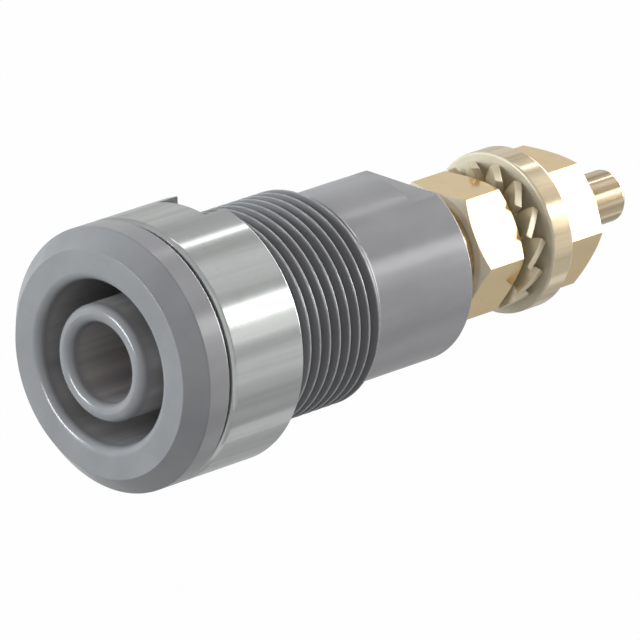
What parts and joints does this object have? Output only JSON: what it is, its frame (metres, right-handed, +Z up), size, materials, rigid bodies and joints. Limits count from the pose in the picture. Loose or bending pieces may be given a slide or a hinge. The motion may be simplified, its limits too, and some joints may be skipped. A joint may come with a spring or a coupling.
{
  "type": "panel-mount banana socket",
  "caption": "Shrouded safety banana socket for panel mounting, with slotted ring nut, threaded body and a rear screw stud carrying hex nuts, a toothed washer and a plain washer.",
  "frame": {"origin": "on the socket's axis, in the plane of the flange's back face, which rests on the panel", "axes": "+Y along the axis from the mouth to the stud, +Z up through the flat on the shank, +X to the right seen from the mouth"},
  "size_m": [0.0144, 0.0395, 0.0144],
  "materials": {
    "grey_plastic": "moulded, satin",
    "contact_metal": "turned, thin pale gold plating",
    "nickel_plate": "turned and nickel plated",
    "nut_metal": "milled flats, thin pale gold plating",
    "washer_metal": "stamped, thin pale gold plating"
  },
  "bodies": {
    "socket": {"insulating_body": "grey_plastic", "contact": "contact_metal", "lock_nut": "nut_metal", "tooth_lock_washer": "washer_metal"},
    "ring_nut": {"ring_nut": "nickel_plate"},
    "clamp_washer": {"clamp_washer": "washer_metal"},
    "terminal_nut": {"terminal_nut": "nut_metal"}
  },
  "joints": [
    {"name": "ring_nut_travel", "type": "slide", "parent": "socket", "child": "ring_nut", "axis": [0, 1, 0], "range_m": [0, 0.0077]},
    {"name": "clamp_washer_travel", "type": "slide", "parent": "socket", "child": "clamp_washer", "axis": [0, 1, 0], "range_m": [0, 0.0042]},
    {"name": "terminal_nut_turn", "type": "hinge", "parent": "clamp_washer", "child": "terminal_nut", "pos_m": [0, 0.031, 0], "axis": [0, 1, 0], "range_deg": [0, 2160]}
  ],
  "couplings": [
    {"joint": "terminal_nut_turn", "follows": "clamp_washer_travel", "rad_per_m": 8976}
  ]
}
